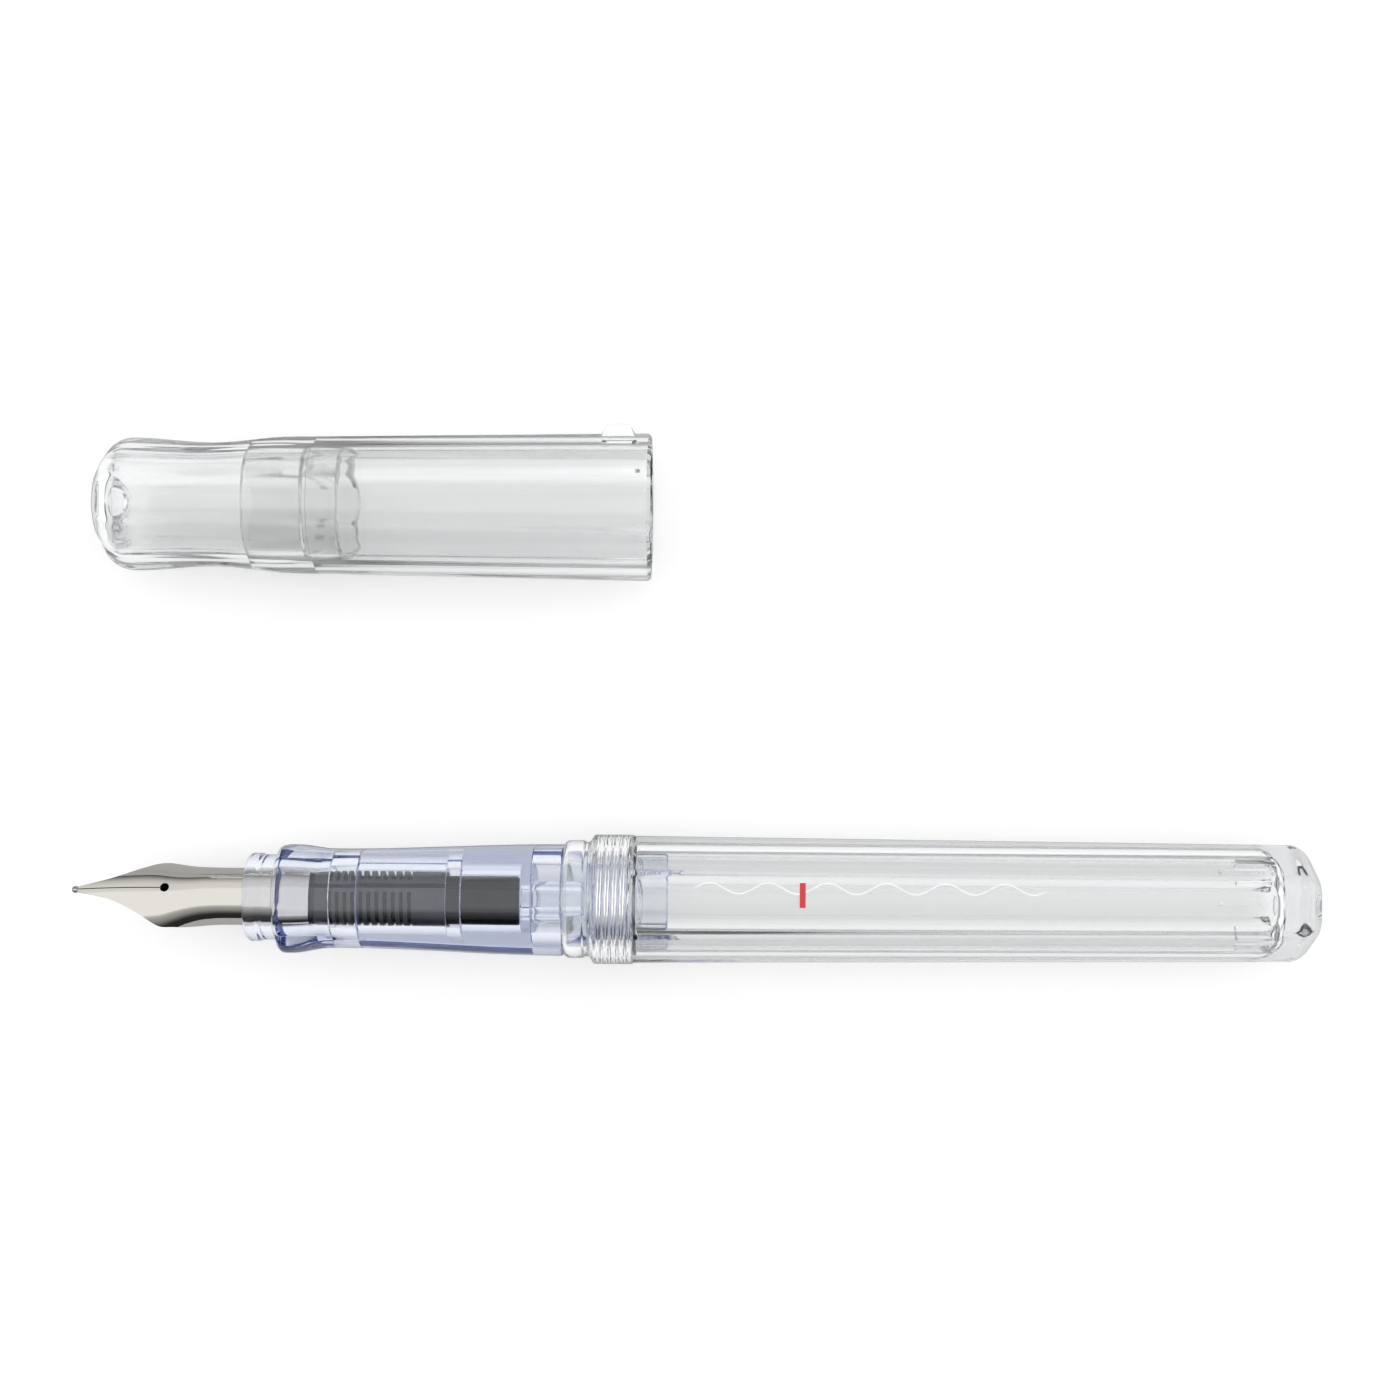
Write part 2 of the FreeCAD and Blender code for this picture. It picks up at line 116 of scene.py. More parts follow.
def reshape(bm, place, rule):
    """Moves each point in or out to the radius that rule(x, angle, radius) gives."""
    for v in bm.verts:
        x, angle, radius = seen_from_axis(v.co, place)
        if radius > ON_AXIS / MM:
            share = rule(x, angle, radius) / radius
            v.co.y = place.y + (v.co.y - place.y) * share
            v.co.z = place.z + (v.co.z - place.z) * share


# %% [markdown]
# Flats are pressed in by the rule that no point may stand outside them. Where a flat meets the
# round corner the two are blended over a tenth of a millimetre, so the ridge catches a soft line
# of light and not a hard one.

# %% Flats on a turned piece
RIDGE = 0.1  # how far the flats and the round are blended


def softer_of(a, b, blend=RIDGE):
    """The smaller of two radii, with a soft change where they meet."""
    near = max(blend - abs(a - b), 0) / blend
    return min(a, b) - near * near * blend / 4


def to_flat(flat, angle, sides, first):
    """Radius of a flat at this angle; the middle of one flat is at the angle first."""
    step = 360 / sides
    off = (angle - first + step / 2) % step - step / 2
    return flat / math.cos(math.radians(off))


def along(x, knots):
    """Radius at x on a chain of (x, r, kind) knots; kind says how the stretch before it runs.

    "ease" is level at both ends, "dome" is level where it starts, "rise" where it ends, and any
    other stretch is straight.
    """
    for (x0, r0, _), (x1, r1, kind) in zip(knots, knots[1:]):
        if x <= x1:
            t = min(max((x - x0) / (x1 - x0), 0), 1)
            if kind == "ease":
                return r0 + (r1 - r0) * (1 - math.cos(math.pi * t)) / 2
            if kind == "dome":
                return r1 + (r0 - r1) * math.sqrt(1 - t * t)
            if kind == "rise":
                return r0 + (r1 - r0) * math.sqrt(1 - (1 - t) ** 2)
            return r0 + (r1 - r0) * t
    return knots[-1][1]


def walked(knots, x0, x1, steps):
    """Stations (x, r) along a chain of knots from x0 to x1."""
    return [(x0 + (x1 - x0) * s / steps, along(x0 + (x1 - x0) * s / steps, knots))
            for s in range(steps + 1)]


# %% Make an object of a finished bmesh
SHARP = math.radians(38)


def piece(name, bm, body, material, stands_for=()):
    """Adds the mesh as an object that rides on a CAD body. Gentle angles are shaded smooth."""
    for face in bm.faces:
        face.smooth = True
    for edge in bm.edges:
        edge.smooth = edge.is_manifold and edge.calc_face_angle() < SHARP
    mesh = bpy.data.meshes.new(name)
    bm.to_mesh(mesh)
    bm.free()
    made = bpy.data.objects.new(name, mesh)
    bpy.context.scene.collection.objects.link(made)
    mesh.materials.append(material)
    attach(made, body)
    if stands_for:
        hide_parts(*stands_for)
    print(name, "has", len(mesh.polygons), "faces")
    return made


def soften_edges(made, name, width, from_angle):
    """Bevels every edge that is sharper than from_angle degrees; width is in millimetres."""
    bevel = made.modifiers.new(name, "BEVEL")
    bevel.width, bevel.segments = width * MM, 2
    bevel.limit_method, bevel.angle_limit = "ANGLE", math.radians(from_angle)
    bevel.harden_normals = True


# %% [markdown]
# ## Finishes
#
# Colours are written as the sRGB hex values that a paint shop would use. Blender's shaders want
# linear light, so one function turns them. Another adds a node with its settings and links.

# %% Colour and node helpers
def colour(hex_value):
    """sRGB hex such as 'D8DADC' as linear RGBA."""
    parts = [int(hex_value[i:i + 2], 16) / 255 for i in (0, 2, 4)]
    return (*(p / 12.92 if p <= 0.04045 else ((p + 0.055) / 1.055) ** 2.4 for p in parts), 1)


def add(tree, kind, inputs=None, **settings):
    """Adds a node; inputs are plain values, or sockets of other nodes to link from."""
    made = tree.nodes.new(kind)
    for name, value in settings.items():
        setattr(made, name, value)
    for name, value in (inputs or {}).items():
        if isinstance(value, bpy.types.NodeSocket):
            tree.links.new(value, made.inputs[name])
        else:
            made.inputs[name].default_value = value
    return made


def new_material(name):
    made = bpy.data.materials.new(name)
    made.use_nodes = True
    made.node_tree.nodes.clear()
    return made, made.node_tree


# %% [markdown]
# The barrel, the cap and the inner cap are clear styrene acrylonitrile, moulded in polished steel.
# It bends light a little more than window glass. Handling leaves a faint uneven polish, and the
# melt's flow leaves very soft waves. Both come from noise that is stretched along the pen.

# %% Clear moulded plastic
SAN_IOR = 1.57
WAVE_MM, WAVE_HEIGHT_MM = 6.0, 0.02  # length of a flow wave across the pen, and its height
HANDLING_MM = 1.4  # size of the patches where the polish is a little duller
MOULD_FLOW = (0.25, 1, 1)  # stretches a pattern four times along the pen


def clear_plastic(name, glass, rough_low, rough_high, per_metre, tint, clarity=1.0):
    """Clear plastic.

    per_metre is how much light the tint takes in one metre, and clarity is the share of light
    that passes straight through and isn't scattered.
    """
    made, tree = new_material(name)
    spot = add(tree, "ShaderNodeTexCoord").outputs["Object"]
    stretched = add(tree, "ShaderNodeMapping", {"Vector": spot, "Scale": MOULD_FLOW}).outputs[0]
    patches = add(tree, "ShaderNodeTexNoise", {"Vector": stretched, "Scale": 1 / (HANDLING_MM * MM),
                                               "Detail": 2.0}).outputs["Fac"]
    rough = add(tree, "ShaderNodeMapRange", {"Value": patches, "From Min": 0.35, "From Max": 0.7,
                                             "To Min": rough_low, "To Max": rough_high}).outputs[0]
    flow = add(tree, "ShaderNodeTexNoise", {"Vector": stretched, "Scale": 1 / (WAVE_MM * MM),
                                            "Detail": 1.0}).outputs["Fac"]
    waves = add(tree, "ShaderNodeBump", {"Height": flow, "Distance": WAVE_HEIGHT_MM * MM,
                                         "Strength": 0.1}).outputs["Normal"]
    shader = add(tree, "ShaderNodeBsdfPrincipled", {
        "Base Color": colour(glass), "Roughness": rough, "IOR": SAN_IOR,
        "Transmission Weight": clarity, "Normal": waves})
    end = add(tree, "ShaderNodeOutputMaterial", {"Surface": shader.outputs[0]})
    depth = add(tree, "ShaderNodeVolumeAbsorption", {"Color": colour(tint),
                                                     "Density": per_metre})
    tree.links.new(depth.outputs[0], end.inputs["Volume"])
    return made


SMOKE = "9AA6B4"  # the faint grey that clear plastic has in depth
barrel_clear = clear_plastic("clear_SAN_polished_barrel", "FBFCFC", 0.02, 0.08, 12, SMOKE)
cap_clear = clear_plastic("clear_SAN_polished_cap", "FBFCFC", 0.03, 0.1, 12, SMOKE)
sleeve_clear = clear_plastic("clear_SAN_moulded_inner_cap", "FEFEFE", 0.06, 0.13, 2, SMOKE, 0.95)
grip_blue = clear_plastic("blue_tinted_SAN_polished_grip", "FBFCFD", 0.01, 0.05, 36, "427ADD")
print("clear plastics:", [m.name for m in (barrel_clear, cap_clear, sleeve_clear, grip_blue)])

# %% [markdown]
# The nib is stainless steel, pressed to its arch and polished along its length. The wheel leaves
# fine scratches that run from tail to tip, which smear the highlights across the nib.

# %% Polished steel for the nib
SCRATCH_MM, SCRATCH_DEPTH_MM = 0.05, 0.001


def polished_metal(name, tone, rough_low, rough_high):
    made, tree = new_material(name)
    spot = add(tree, "ShaderNodeTexCoord").outputs["Object"]
    lines = add(tree, "ShaderNodeMapping", {"Vector": spot, "Scale": (0.03, 1, 1)}).outputs[0]
    scratch = add(tree, "ShaderNodeTexNoise", {"Vector": lines, "Scale": 1 / (SCRATCH_MM * MM),
                                               "Detail": 3.0}).outputs["Fac"]
    rough = add(tree, "ShaderNodeMapRange", {"Value": scratch, "From Min": 0.3, "From Max": 0.7,
                                             "To Min": rough_low, "To Max": rough_high}).outputs[0]
    marks = add(tree, "ShaderNodeBump", {"Height": scratch, "Distance": SCRATCH_DEPTH_MM * MM,
                                         "Strength": 0.6}).outputs["Normal"]
    shader = add(tree, "ShaderNodeBsdfPrincipled", {
        "Base Color": colour(tone), "Metallic": 1.0, "Roughness": rough, "Normal": marks})
    add(tree, "ShaderNodeOutputMaterial", {"Surface": shader.outputs[0]})
    return made


nib_steel = polished_metal("stainless_steel_polished_nib", "CBC8C2", 0.03, 0.1)
pellet_metal = polished_metal("hard_alloy_ground_tipping", "B9B9BC", 0.18, 0.3)

# %% [markdown]
# The feed is dark grey ABS. Its mould is spark-eroded, not polished, so it is finely grained and
# dull. Deep in its slots and groove it gets painted shade: near black and less shiny.

# %% Dark moulded plastic for the feed
GRAIN_MM, GRAIN_DEPTH_MM, CLOUD_MM = 0.06, 0.004, 2.5
ROOT_MM, SKIN_MM = 2.56, 2.68  # radii between which the painted shade in the slots fades out


def grained_plastic(name, tone, light_tone, painted_shade_tone):
    made, tree = new_material(name)
    spot = add(tree, "ShaderNodeTexCoord").outputs["Object"]
    centred = add(tree, "ShaderNodeMapping", {"Vector": spot, "Location": (0, -pen.y, -pen.z),
                                              "Scale": (0, 1, 1)}).outputs[0]
    reach = add(tree, "ShaderNodeVectorMath", {0: centred}, operation="LENGTH").outputs["Value"]
    # Painted shade: below the slots' root radius the colour fades to the near-black tone and the
    # shine drops, standing for the shade deep in the slots and the groove.
    out_of_painted_shade = add(tree, "ShaderNodeMapRange", {"Value": reach, "From Min": ROOT_MM * MM,
                                             "From Max": SKIN_MM * MM}).outputs[0]
    grain = add(tree, "ShaderNodeTexNoise", {"Vector": spot, "Scale": 1 / (GRAIN_MM * MM),
                                             "Detail": 3.0}).outputs["Fac"]
    cloud = add(tree, "ShaderNodeTexNoise", {"Vector": spot, "Scale": 1 / (CLOUD_MM * MM),
                                             "Detail": 2.0}).outputs["Fac"]
    tone_mix = add(tree, "ShaderNodeMix", {"Factor": cloud}, data_type="RGBA")
    tone_mix.inputs[6].default_value = colour(tone)
    tone_mix.inputs[7].default_value = colour(light_tone)
    with_painted_shade = add(tree, "ShaderNodeMix", {"Factor": out_of_painted_shade}, data_type="RGBA")
    with_painted_shade.inputs[6].default_value = colour(painted_shade_tone)
    tree.links.new(tone_mix.outputs[2], with_painted_shade.inputs[7])
    rough = add(tree, "ShaderNodeMapRange", {"Value": grain, "To Min": 0.28,
                                             "To Max": 0.5}).outputs[0]
    pits = add(tree, "ShaderNodeBump", {"Height": grain, "Distance": GRAIN_DEPTH_MM * MM,
                                        "Strength": 0.5}).outputs["Normal"]
    shine_less_in_painted_shade = add(tree, "ShaderNodeMapRange", {"Value": out_of_painted_shade, "To Min": 0.06,
                                             "To Max": 0.5}).outputs[0]
    shader = add(tree, "ShaderNodeBsdfPrincipled", {
        "Base Color": with_painted_shade.outputs[2], "Roughness": rough, "IOR": 1.54,
        "Specular IOR Level": shine_less_in_painted_shade, "Normal": pits})
    add(tree, "ShaderNodeOutputMaterial", {"Surface": shader.outputs[0]})
    return made


# 030404 is the near black of the painted shade in the feed's slots and groove.
feed_abs = grained_plastic("dark_grey_ABS_moulded_feed", "33373C", "43474D", "030404")
print("metals and feed:", [m.name for m in (nib_steel, pellet_metal, feed_abs)])

# %% [markdown]
# The marks on the barrel are pad printed: a thin film of opaque ink with a slight orange peel.

# %% Printing ink
PEEL_MM, PEEL_HEIGHT_MM = 0.12, 0.003


def print_and_painted_shade_film(name, tone):
    made, tree = new_material(name)
    spot = add(tree, "ShaderNodeTexCoord").outputs["Object"]
    peel = add(tree, "ShaderNodeTexNoise", {"Vector": spot,
                                            "Scale": 1 / (PEEL_MM * MM)}).outputs["Fac"]
    rough = add(tree, "ShaderNodeMapRange", {"Value": peel, "To Min": 0.3,
                                             "To Max": 0.6}).outputs[0]
    bumps = add(tree, "ShaderNodeBump", {"Height": peel, "Distance": PEEL_HEIGHT_MM * MM,
                                         "Strength": 0.5}).outputs["Normal"]
    shader = add(tree, "ShaderNodeBsdfPrincipled", {
        "Base Color": colour(tone), "Roughness": rough, "IOR": 1.5, "Normal": bumps})
    add(tree, "ShaderNodeOutputMaterial", {"Surface": shader.outputs[0]})
    return made


white_ink = print_and_painted_shade_film("white_pad_printing_ink", "FFFFFF")
red_ink = print_and_painted_shade_film("red_pad_printing_ink", "D8322E")
# The near-black film below is painted shade for the nib's slit. It is not print.
slit_painted_shade = print_and_painted_shade_film("black_painted_shade_film", "0A0A0C")

# %% [markdown]
# ## The grip section
#
# One moulding holds nearly everything: the lip and groove that the inner cap seals on, the
# three-sided grip, the threaded tenon and, inside, the bores for the feed and the ink socket with
# its nipple. Its flats face away from the nib's top and sixty degrees to each side of it.

# %% Grip section
THREAD_PITCH, THREAD_DEPTH = 0.755, 0.38
THREAD_START, THREAD_STOP = 2.70, 7.23
NIB_ROLL = 28.0  # degrees that the nib and the flats are turned towards the cap


def thread_stations(radius, forwards=True):
    """Closely spaced stations for the thread to be shaped from."""
    count = 96
    xs = [THREAD_START + (THREAD_STOP - THREAD_START) * s / count for s in range(count + 1)]
    return [(x, radius) for x in (xs if forwards else reversed(xs))]


def groove_at(x, angle, shift=0.0):
    """How deep the helical groove is here, from 0 at a crest to 1 at the bottom."""
    turn = ((x - THREAD_START) / THREAD_PITCH - angle / 360 + shift) % 1
    flank = min(max((0.5 - abs(turn - 0.5) - 0.12) / 0.26, 0), 1)
    fade = min(x - THREAD_START, THREAD_STOP - x) / (0.4 * THREAD_PITCH)
    return flank * min(max(fade, 0), 1)


grip_flats = [(-29.0, 5.19, ""), (-27.75, 5.19, "line"), (-23.55, 4.86, "ease"),
              (0.0, 5.40, "ease")]
grip_corners = [(-27.75, 5.69, ""), (-23.55, 5.14, "ease"), (0.0, 5.80, "ease")]
grip_outline = (
    [(-32.15, 4.5, 0.35), (-30.95, 4.5, 0.1), (-30.65, 4.35, 0.1), (-29.15, 4.35, 0.1),
     (-28.85, 5.39, 0.12), (-28.55, 5.69, 0.12)]
    + walked(grip_corners, -27.75, -0.4, 44)
    + [(0.0, 5.80, 0.15), (0.0, 4.9, 0.1)]
    + thread_stations(4.9)
    + [(7.23, 4.6, 0.1), (10.73, 4.6, 0.25), (10.73, 3.7, 0.1), (-3.15, 3.7, 0.15),
       (-3.15, 1.8, 0.15), (1.85, 1.8, 0.25), (1.85, 0.9, 0.1), (-4.15, 0.9, 0.1),
       (-4.15, 2.3, 0.1), (-10.20, 2.3, 0.1), (-10.20, 3.0, 0.1), (-11.70, 3.0, 0.05),
       (-11.70, 2.75, 0.05), (-20.75, 2.75, 0.1), (-20.75, 3.3, 0.1), (-23.55, 3.3, 0.1),
       (-23.55, 3.0, 0.1), (-32.15, 3.0, 0.2)])


def grip_rule(x, angle, radius):
    if radius > 4.6 and -29.0 < x < 0.01:
        return softer_of(radius, to_flat(along(x, grip_flats), angle, 3, NIB_ROLL + 60))
    if THREAD_START < x < THREAD_STOP and radius > 4.7:
        return radius - THREAD_DEPTH * groove_at(x, angle)
    return radius


grip = turned(grip_outline, pen)
reshape(grip, pen, grip_rule)
piece("grip_section_clear", grip, "grip", grip_blue, ["grip_section"])

# %% [markdown]
# ## The barrel
#
# The barrel is a long hexagon that tapers towards the tail and closes in a faceted dome. In front
# it has a round snap ring for the cap, a narrow neck and a round collar over the inner thread.
# Three short ribs in the blind end hold a spare cartridge. They are pulled out of the bore's own
# faces, so that barrel and ribs stay one closed skin and no light is lost inside.

# %% Barrel
FRONT_GAP = 0.03  # keeps the barrel's face off the grip's, as light would see them
HEX_START, DOME_START, BARREL_END = 7.04, 74.3, 76.9
TAIL_RIM = 2.35
RIB_START, RIB_END, RIB_REACH, RIB_HALF = 68.25, 72.35, 3.4, 5.7
DOME_RIDGE = 0.04
barrel_flats = [(6.84, 5.80, ""), (DOME_START, 5.32, "line"), (BARREL_END, TAIL_RIM, "dome")]
barrel_corners = [(6.84, 6.50, ""), (DOME_START, 5.98, "line"), (BARREL_END, TAIL_RIM, "dome")]
BORE_DOME, BORE_END, BORE = 71.15, 73.15, 4.65
bore_knots = [(BORE_DOME, BORE, ""), (BORE_END, 1.85, "dome")]
dome_lengths = [DOME_START + (BARREL_END - DOME_START) * math.sin(math.radians(a))
                for a in range(0, 90, 6)]
dome_stations = [(x, along(x, barrel_corners)) for x in dome_lengths]
bore_lengths = [BORE_DOME + (BORE_END - BORE_DOME) * math.sin(math.radians(a))
                for a in range(90, -1, -6)]
bore_stations = [(x, along(x, bore_knots)) for x in bore_lengths]
barrel_outline = (
    [(BORE_END, 0)] + bore_stations
    + [(RIB_START, BORE), (7.53, BORE, 0.1)]
    + thread_stations(4.95, False)
    + [(FRONT_GAP, 4.95, 0.15), (FRONT_GAP, 6.0, 0.65), (2.1, 6.0, 0.1), (2.2, 5.85, 0.05),
       (2.65, 5.85, 0.1), (3.15, 6.6, 0.15), (HEX_START, 6.6, 0.04),
       (HEX_START + 0.15, along(HEX_START, barrel_corners))]
    + dome_stations
    + [(BARREL_END, TAIL_RIM), (BARREL_END, 1.9, 0.08), (75.4, 1.9, 0.05), (75.4, 0)])


def barrel_rule(x, angle, radius):
    on_dome = x > 73.6 and radius > TAIL_RIM + 0.05
    on_sides = x > HEX_START - 0.001 and 5.5 < radius < 6.505
    if on_dome or on_sides:
        ridge = RIDGE if x < DOME_START else DOME_RIDGE
        return softer_of(radius, to_flat(along(x, barrel_flats), angle, 6, 0), ridge)
    if THREAD_START < x < THREAD_STOP and radius < 5.0:
        return radius + THREAD_DEPTH * groove_at(x, angle, 0.5)
    return radius


def pull_rib(bm, angle):
    """Pulls one rib out of the bore towards the axis."""
    chosen = []
    for face in bm.faces:
        x, at, radius = seen_from_axis(face.calc_center_median(), pen)
        off = (at - angle + 180) % 360 - 180
        if RIB_START < x < RIB_END and abs(off) < RIB_HALF and 3.5 < radius < 4.7:
            chosen.append(face)
    grown = bmesh.ops.extrude_face_region(bm, geom=chosen)["geom"]
    bmesh.ops.delete(bm, geom=chosen, context="FACES")
    out = Vector((0, math.sin(math.radians(angle)), math.cos(math.radians(angle))))
    for v in grown:
        if isinstance(v, bmesh.types.BMVert):
            v.co -= out * ((v.co - pen).dot(out) - RIB_REACH * MM)


barrel = turned(barrel_outline, pen, closed=False)
reshape(barrel, pen, barrel_rule)
for rib_angle in (60, 180, 300):
    pull_rib(barrel, rib_angle)
bmesh.ops.recalc_face_normals(barrel, faces=barrel.faces[:])
piece("barrel_clear", barrel, "barrel", barrel_clear, ["barrel"])

# %% Barrel end plug
end_plug = turned([(75.5, 0), (75.5, 1.85, 0.05), (BARREL_END, 1.85, 0.15), (BARREL_END, 0)],
                  pen, closed=False, steps=96)
piece("barrel_end_plug_clear", end_plug, "end_plug", barrel_clear,
      ["barrel_end_plug"])

# %% [markdown]
# ## The cap
#
# The cap's hexagon is gripped in to a waist near the crown and swells again to a round end. On
# one corner, near the mouth, stands a small block that keeps the pen from rolling away. It is
# pulled out of the corner's faces, as the ribs were.

# %% Cap shell
CROWN, BULB, WAIST, NECK, MOUTH_EDGE = -55.75, -52.85, -44.95, -36.45, -0.35
STOP_BACK, STOP_FRONT, STOP_TOP, STOP_HALF, STOP_SLOPE = -5.15, -1.75, 8.45, 9.5, 0.5
CROWN_CORNER = 2.9  # how far the rounding at the crown reaches along the cap
cap_flats = [(CROWN, 4.3, ""), (BULB, 6.25, "rise"), (WAIST, 5.95, "ease"), (NECK, 6.50, "ease"),
             (MOUTH_EDGE, 6.80, "line"), (0.0, 6.45, "line")]
cap_corners = [(CROWN, 4.3, ""), (BULB, 6.78, "rise"), (WAIST, 6.32, "ease"), (NECK, 6.98, "ease"),
               (MOUTH_EDGE, 7.55, "line"), (0.0, 7.20, "line")]
crown_lengths = [BULB - CROWN_CORNER * math.cos(math.radians(a)) for a in range(6, 91, 6)]
cap_outline = (
    [(CROWN, 2.42, 0.05), (CROWN, 4.3)] + [(x, along(x, cap_corners)) for x in crown_lengths]
    + walked(cap_corners, BULB, WAIST, 14)[1:] + walked(cap_corners, WAIST, NECK, 16)[1:]
    + [(STOP_BACK, along(STOP_BACK, cap_corners)), (STOP_FRONT, along(STOP_FRONT, cap_corners)),
       (MOUTH_EDGE, 7.55), (-0.1, 7.32), (0.0, 7.15), (0.0, 6.08, 0.15), (-4.0, 6.08),
       (-34.35, 5.87, 0.03), (-34.35, 5.47, 0.03), (-40.85, 5.47, 0.05), (-40.85, 4.95, 0.05),
       (-54.0, 4.95, 0.5), (-55.0, 3.95, 0.3), (-55.0, 2.42, 0.05)])


def cap_rule(x, angle, radius):
    inner = 6.10 if x > -36.45 else 5.5
    if radius > inner or (x < -54.9 and radius > 3.99):
        return softer_of(radius, to_flat(along(x, cap_flats), angle, 6, 0))
    return radius


shell = turned(cap_outline, cap)
reshape(shell, cap, cap_rule)
stop_faces = []
for face in shell.faces:
    x, at, radius = seen_from_axis(face.calc_center_median(), cap)
    if STOP_BACK < x < STOP_FRONT and abs(at - 90) < STOP_HALF and radius > 6.5:
        stop_faces.append(face)
grown = bmesh.ops.extrude_face_region(shell, geom=stop_faces)["geom"]
bmesh.ops.delete(shell, geom=stop_faces, context="FACES")
for v in (g for g in grown if isinstance(g, bmesh.types.BMVert)):
    x = (v.co.x - cap.x) / MM
    v.co.x += MM * (STOP_SLOPE if x < (STOP_BACK + STOP_FRONT) / 2 else -STOP_SLOPE)
    v.co.y = cap.y + STOP_TOP * MM
bmesh.ops.recalc_face_normals(shell, faces=shell.faces[:])
piece("cap_shell_clear", shell, "cap", cap_clear, ["cap_shell"])

# %% Inner cap and crown plug
inner = turned([(-40.83, 5.45, 0.1), (-34.33, 5.45, 0.05), (-34.33, 5.83, 0.05),
                (-31.35, 5.83, 0.1), (-31.35, 4.85, 0.05), (-31.65, 4.55, 0.1),
                (-34.85, 4.55, 0.1), (-35.25, 4.1, 0.1),
                (-40.83, 4.1, 0.1)], cap)
piece("inner_cap_clear", inner, "cap", sleeve_clear, ["inner_cap"])
crown = turned([(-56.35, 0), (-56.35, 4.0, 0.35), (-55.77, 4.0, 0.05), (-55.77, 2.4, 0.03),
                (-54.8, 2.4, 0.1), (-54.8, 0)], cap, closed=False)
piece("crown_plug_clear", crown, "cap", cap_clear, ["crown_plug"])

# %% [markdown]
# ## The nib
#
# A nib is pressed from flat steel: a full arch where it grips the feed, then shoulders, then two
# tines that draw in to the point. A half-pipe is spun from a row of points along its top, and each
# point is then moved to the arch that the nib has at that length. The slit and the breather hole
# are opened before the sheet gets its thickness, so their walls close by themselves.

# %% Nib
NIB_TIP, NIB_TAIL_LENGTH, NIB_BODY, NIB_SHEET = -50.05, 24.35, 2.95, 0.25
BREATHER, BREATHER_RADIUS, SLIT_HALF = 9.6, 0.47, 0.05
nib_arch = [  # from the tip, drop of the top, how much flatter the arch is, half its angle
    (0.0, 1.30, 1.02, 2.6), (0.35, 1.25, 1.05, 3.6), (3.8, 0.85, 1.25, 15.2),
    (7.1, 0.65, 1.45, 35.5), (9.0, 0.62, 1.25, 56.0), (10.4, 0.50, 0.80, 67.0),
    (12.0, 0.28, 0.35, 83.0), (13.6, 0.08, 0.10, 95.0), (15.6, 0, 0, 99.0), (24.35, 0, 0, 100.0)]


def smooth_through(knots, x, column):
    """Value at x of a smooth curve through the knots that never overshoots them."""
    for i in range(len(knots) - 1):
        if x <= knots[i + 1][0] or i == len(knots) - 2:
            break
    slopes = [(b[column] - a[column]) / (b[0] - a[0]) for a, b in zip(knots, knots[1:])]

    def slope_at(k):
        if k == 0 or k == len(knots) - 1:
            return slopes[0] if k == 0 else slopes[-1]
        a, b = slopes[k - 1], slopes[k]
        return 0.0 if a * b <= 0 else 2 * a * b / (a + b)

    x0, x1 = knots[i][0], knots[i + 1][0]
    t, width = (x - x0) / (x1 - x0), x1 - x0
    return (knots[i][column] * (2 * t ** 3 - 3 * t ** 2 + 1)
            + slope_at(i) * width * (t ** 3 - 2 * t ** 2 + t)
            + knots[i + 1][column] * (3 * t ** 2 - 2 * t ** 3)
            + slope_at(i + 1) * width * (t ** 3 - t ** 2))


NIB_START, NIB_STEPS, NIB_SIDE, NIB_TURN_STEPS = 0.35, 180, 100, 80
nib_lengths = [NIB_START + (NIB_TAIL_LENGTH - NIB_START) * s / NIB_STEPS
               for s in range(NIB_STEPS + 1)]
nib = bmesh.new()
row = [nib.verts.new((x * MM, 0, 1.0)) for x in nib_lengths]
for a, b in zip(row, row[1:]):
    nib.edges.new((a, b))
bmesh.ops.rotate(nib, verts=nib.verts[:], cent=(0, 0, 0),
                 matrix=Matrix.Rotation(math.radians(NIB_SIDE), 3, "X"))
bmesh.ops.spin(nib, geom=nib.verts[:] + nib.edges[:], cent=(0, 0, 0), axis=(1, 0, 0),
               angle=math.radians(-2 * NIB_SIDE), steps=NIB_TURN_STEPS)
to_place = Matrix.Translation(pen) @ Matrix.Rotation(math.radians(-NIB_ROLL), 4, "X")


def arch_point(from_tip, share):
    """Point of the nib's outer face; share runs from -1 to 1 across it."""
    drop, flatter, half = (smooth_through(nib_arch, from_tip, c) for c in (1, 2, 3))
    radius = NIB_BODY + flatter
    angle = math.radians(half) * share
    return Vector((NIB_TIP + from_tip, radius * math.sin(angle),
                   NIB_BODY - drop - radius + radius * math.cos(angle))) * MM


for v in nib.verts:
    share = -math.degrees(math.atan2(v.co.y, v.co.z)) / NIB_SIDE
    v.co = arch_point(v.co.x / MM, share)

